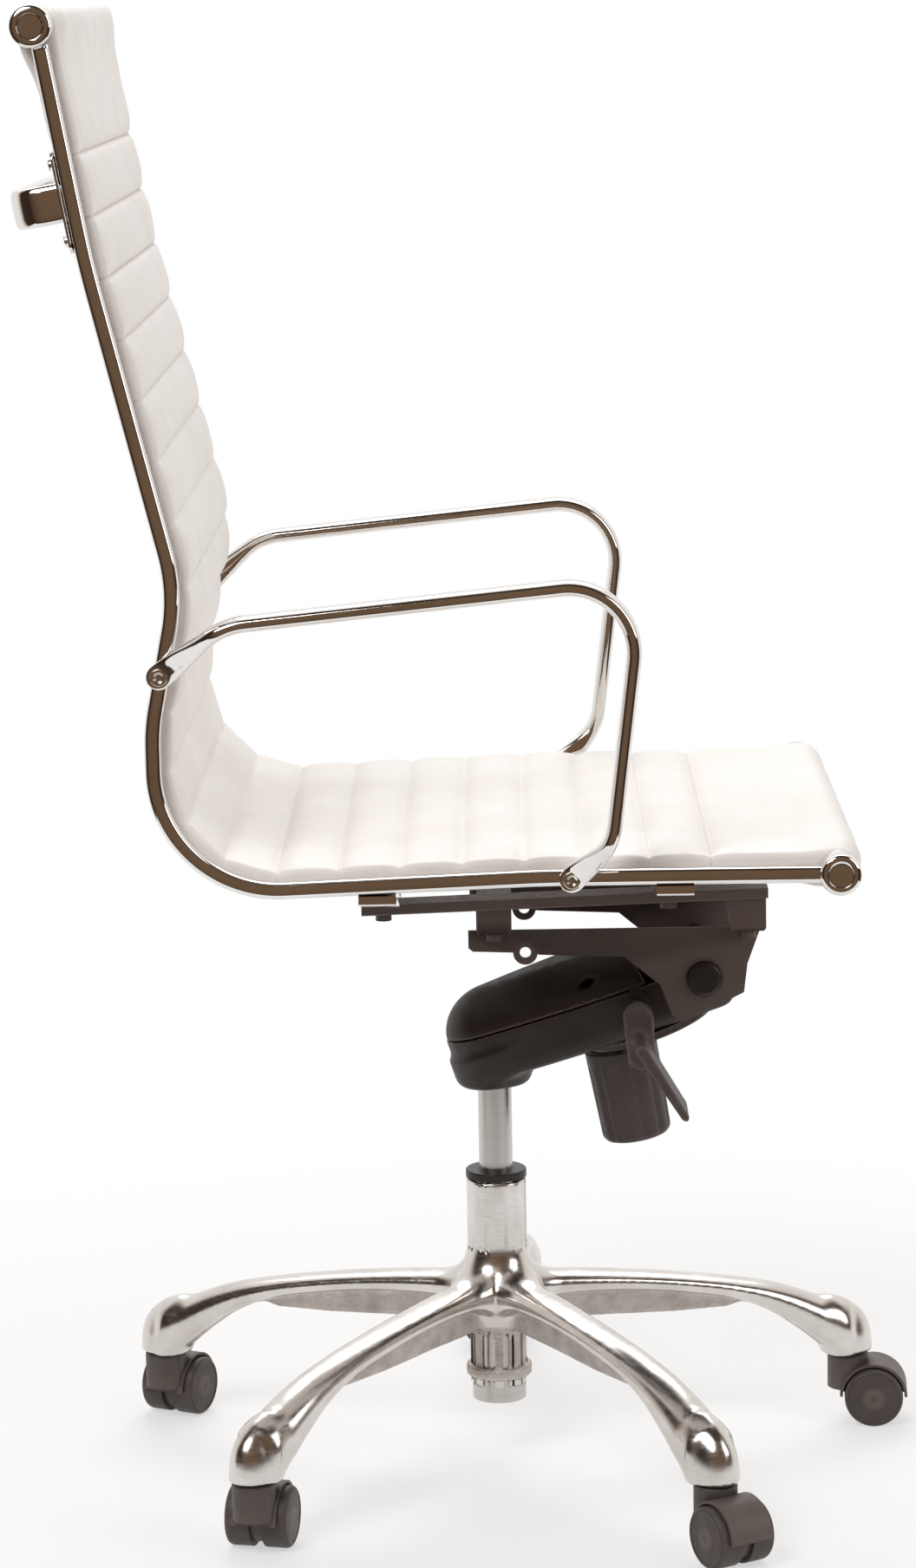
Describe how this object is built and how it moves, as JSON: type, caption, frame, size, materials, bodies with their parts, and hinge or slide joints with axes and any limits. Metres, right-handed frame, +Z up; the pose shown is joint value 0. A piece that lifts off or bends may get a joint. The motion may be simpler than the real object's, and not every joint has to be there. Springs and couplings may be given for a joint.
{
  "type": "swivel office chair",
  "caption": "High-back swivel office chair: ribbed leather sling between chromed side rails, loop armrests, tilt mechanism, gas lift and star base on twin-wheel casters.",
  "frame": {"origin": "floor level under the middle of the chair's footprint box; the swivel column stands 1.0 mm in X and -21.0 mm in Y from it", "axes": "+Z up; +X towards the sitter's knees (front of the seat); +Y towards the sitter's left"},
  "size_m": [0.7065, 0.6692, 1.2167],
  "materials": {
    "white_leather": "soft low-sheen faux leather, off-white",
    "chrome": "mirror chrome plate",
    "polished_aluminium": "polished die casting, as-cast grey underneath",
    "satin_steel": "ground and lightly satin",
    "zinc_steel": "zinc plated",
    "black_plastic": "fine moulded grain",
    "knob_plastic": "soft fluted grip, matt",
    "black_casting": "warm black powder coat, satin",
    "black_steel": "warm black powder coat, satin",
    "caster_nylon": "moulded nylon, slightly worn"
  },
  "bodies": {
    "base": {"base_star": "polished_aluminium", "column_tube": "satin_steel", "column_bush": "black_plastic", "caster_stems": "zinc_steel"},
    "gas_rod": {"piston_rod": "satin_steel", "thrust_bearing": "zinc_steel", "retaining_clip": "zinc_steel"},
    "lift": {"gas_cylinder": "satin_steel", "mechanism_casing": "black_casting", "mechanism_cover": "black_casting", "spring_dish": "black_casting", "tension_bolt": "zinc_steel", "tension_spring": "zinc_steel"},
    "release_pin": {"release_pin": "zinc_steel"},
    "tension_knob": {"tension_knob": "knob_plastic"},
    "lever_slide": {"lever_bush": "black_plastic"},
    "lever": {"lever_rod": "black_steel", "lever_paddle": "black_plastic"},
    "seat": {"tilt_shaft": "black_steel", "side_plate_left": "black_steel", "side_plate_right": "black_steel", "rear_cross_block": "black_steel", "front_cross_block": "black_steel", "seat_bar_left": "black_steel", "seat_bar_right": "black_steel", "block_bolts": "black_steel", "spreader_bolts": "black_steel", "rear_spreader": "chrome", "front_spreader": "chrome", "rail_left": "chrome", "rail_right": "chrome", "top_roller": "chrome", "front_roller": "chrome", "roller_screws": "chrome", "sling": "white_leather", "back_handle": "chrome", "handle_screws": "chrome", "arm_left": "chrome", "arm_right": "chrome", "arm_bolts": "chrome"},
    "caster_1": {"caster_1_hood": "caster_nylon", "caster_1_axle": "zinc_steel"},
    "caster_1_wheel_a": {"caster_1_wheel_a": "caster_nylon"},
    "caster_1_wheel_b": {"caster_1_wheel_b": "caster_nylon"},
    "caster_2": {"caster_2_hood": "caster_nylon", "caster_2_axle": "zinc_steel"},
    "caster_2_wheel_a": {"caster_2_wheel_a": "caster_nylon"},
    "caster_2_wheel_b": {"caster_2_wheel_b": "caster_nylon"},
    "caster_3": {"caster_3_hood": "caster_nylon", "caster_3_axle": "zinc_steel"},
    "caster_3_wheel_a": {"caster_3_wheel_a": "caster_nylon"},
    "caster_3_wheel_b": {"caster_3_wheel_b": "caster_nylon"},
    "caster_4": {"caster_4_hood": "caster_nylon", "caster_4_axle": "zinc_steel"},
    "caster_4_wheel_a": {"caster_4_wheel_a": "caster_nylon"},
    "caster_4_wheel_b": {"caster_4_wheel_b": "caster_nylon"},
    "caster_5": {"caster_5_hood": "caster_nylon", "caster_5_axle": "zinc_steel"},
    "caster_5_wheel_a": {"caster_5_wheel_a": "caster_nylon"},
    "caster_5_wheel_b": {"caster_5_wheel_b": "caster_nylon"}
  },
  "joints": [
    {"name": "swivel", "type": "hinge", "parent": "base", "child": "gas_rod", "pos_m": [0.001, -0.021, 0.25], "axis": [0, 0, 1], "continuous": true},
    {"name": "seat_height", "type": "slide", "parent": "gas_rod", "child": "lift", "axis": [0, 0, 1], "range_m": [-0.055, 0.045]},
    {"name": "seat_tilt", "type": "hinge", "parent": "lift", "child": "seat", "pos_m": [0.17297, -0.021, 0.42898], "axis": [0, -1, 0], "range_deg": [0, 14], "stiffness_Nm_per_rad": 150, "springref_deg": -37.24},
    {"name": "tension_turn", "type": "hinge", "parent": "lift", "child": "tension_knob", "pos_m": [0.1065, -0.021, 0.353], "axis": [0.1736, 0, -0.9848], "continuous": true},
    {"name": "lever_pull", "type": "slide", "parent": "lift", "child": "lever_slide", "axis": [0, -1, 0], "range_m": [0, 0.01]},
    {"name": "lever_lift", "type": "hinge", "parent": "lever_slide", "child": "lever", "pos_m": [0.11837, -0.021, 0.40172], "axis": [0, -1, 0], "range_deg": [0, 3.5], "stiffness_Nm_per_rad": 2, "springref_deg": -17.19},
    {"name": "release_press", "type": "slide", "parent": "lift", "child": "release_pin", "axis": [0, 0, 1], "range_m": [-0.0077, 0]},
    {"name": "caster_1_swivel", "type": "hinge", "parent": "base", "child": "caster_1", "pos_m": [0.30126, 0.06002, 0.06], "axis": [0, 0, 1], "continuous": true},
    {"name": "caster_1_roll_a", "type": "hinge", "parent": "caster_1", "child": "caster_1_wheel_a", "pos_m": [0.32321, 0.05848, 0.025], "axis": [0.0698, 0.9976, 0], "continuous": true},
    {"name": "caster_1_roll_b", "type": "hinge", "parent": "caster_1", "child": "caster_1_wheel_b", "pos_m": [0.32321, 0.05848, 0.025], "axis": [0.0698, 0.9976, 0], "continuous": true},
    {"name": "caster_2_swivel", "type": "hinge", "parent": "base", "child": "caster_2", "pos_m": [0.01673, 0.2896, 0.06], "axis": [0, 0, 1], "continuous": true},
    {"name": "caster_2_roll_a", "type": "hinge", "parent": "caster_2", "child": "caster_2_wheel_a", "pos_m": [-0.00232, 0.3006, 0.025], "axis": [-0.5, -0.866, 0], "continuous": true},
    {"name": "caster_2_roll_b", "type": "hinge", "parent": "caster_2", "child": "caster_2_wheel_b", "pos_m": [-0.00232, 0.3006, 0.025], "axis": [-0.5, -0.866, 0], "continuous": true},
    {"name": "caster_3_swivel", "type": "hinge", "parent": "base", "child": "caster_3", "pos_m": [-0.28954, 0.08995, 0.06], "axis": [0, 0, 1], "continuous": true},
    {"name": "caster_3_roll_a", "type": "hinge", "parent": "caster_3", "child": "caster_3_wheel_a", "pos_m": [-0.27955, 0.10955, 0.025], "axis": [-0.891, 0.454, 0], "continuous": true},
    {"name": "caster_3_roll_b", "type": "hinge", "parent": "caster_3", "child": "caster_3_wheel_b", "pos_m": [-0.27955, 0.10955, 0.025], "axis": [-0.891, 0.454, 0], "continuous": true},
    {"name": "caster_4_swivel", "type": "hinge", "parent": "base", "child": "caster_4", "pos_m": [-0.1943, -0.26303, 0.06], "axis": [0, 0, 1], "continuous": true},
    {"name": "caster_4_roll_a", "type": "hinge", "parent": "caster_4", "child": "caster_4_wheel_a", "pos_m": [-0.18897, -0.24169, 0.025], "axis": [-0.9703, 0.2419, 0], "continuous": true},
    {"name": "caster_4_roll_b", "type": "hinge", "parent": "caster_4", "child": "caster_4_wheel_b", "pos_m": [-0.18897, -0.24169, 0.025], "axis": [-0.9703, 0.2419, 0], "continuous": true},
    {"name": "caster_5_swivel", "type": "hinge", "parent": "base", "child": "caster_5", "pos_m": [0.17084, -0.28153, 0.06], "axis": [0, 0, 1], "continuous": true},
    {"name": "caster_5_roll_a", "type": "hinge", "parent": "caster_5", "child": "caster_5_wheel_a", "pos_m": [0.1825, -0.30019, 0.025], "axis": [0.848, 0.5299, 0], "continuous": true},
    {"name": "caster_5_roll_b", "type": "hinge", "parent": "caster_5", "child": "caster_5_wheel_b", "pos_m": [0.1825, -0.30019, 0.025], "axis": [0.848, 0.5299, 0], "continuous": true}
  ],
  "couplings": [
    {"joint": "release_press", "follows": "lever_lift", "m_per_rad": -0.1245}
  ]
}
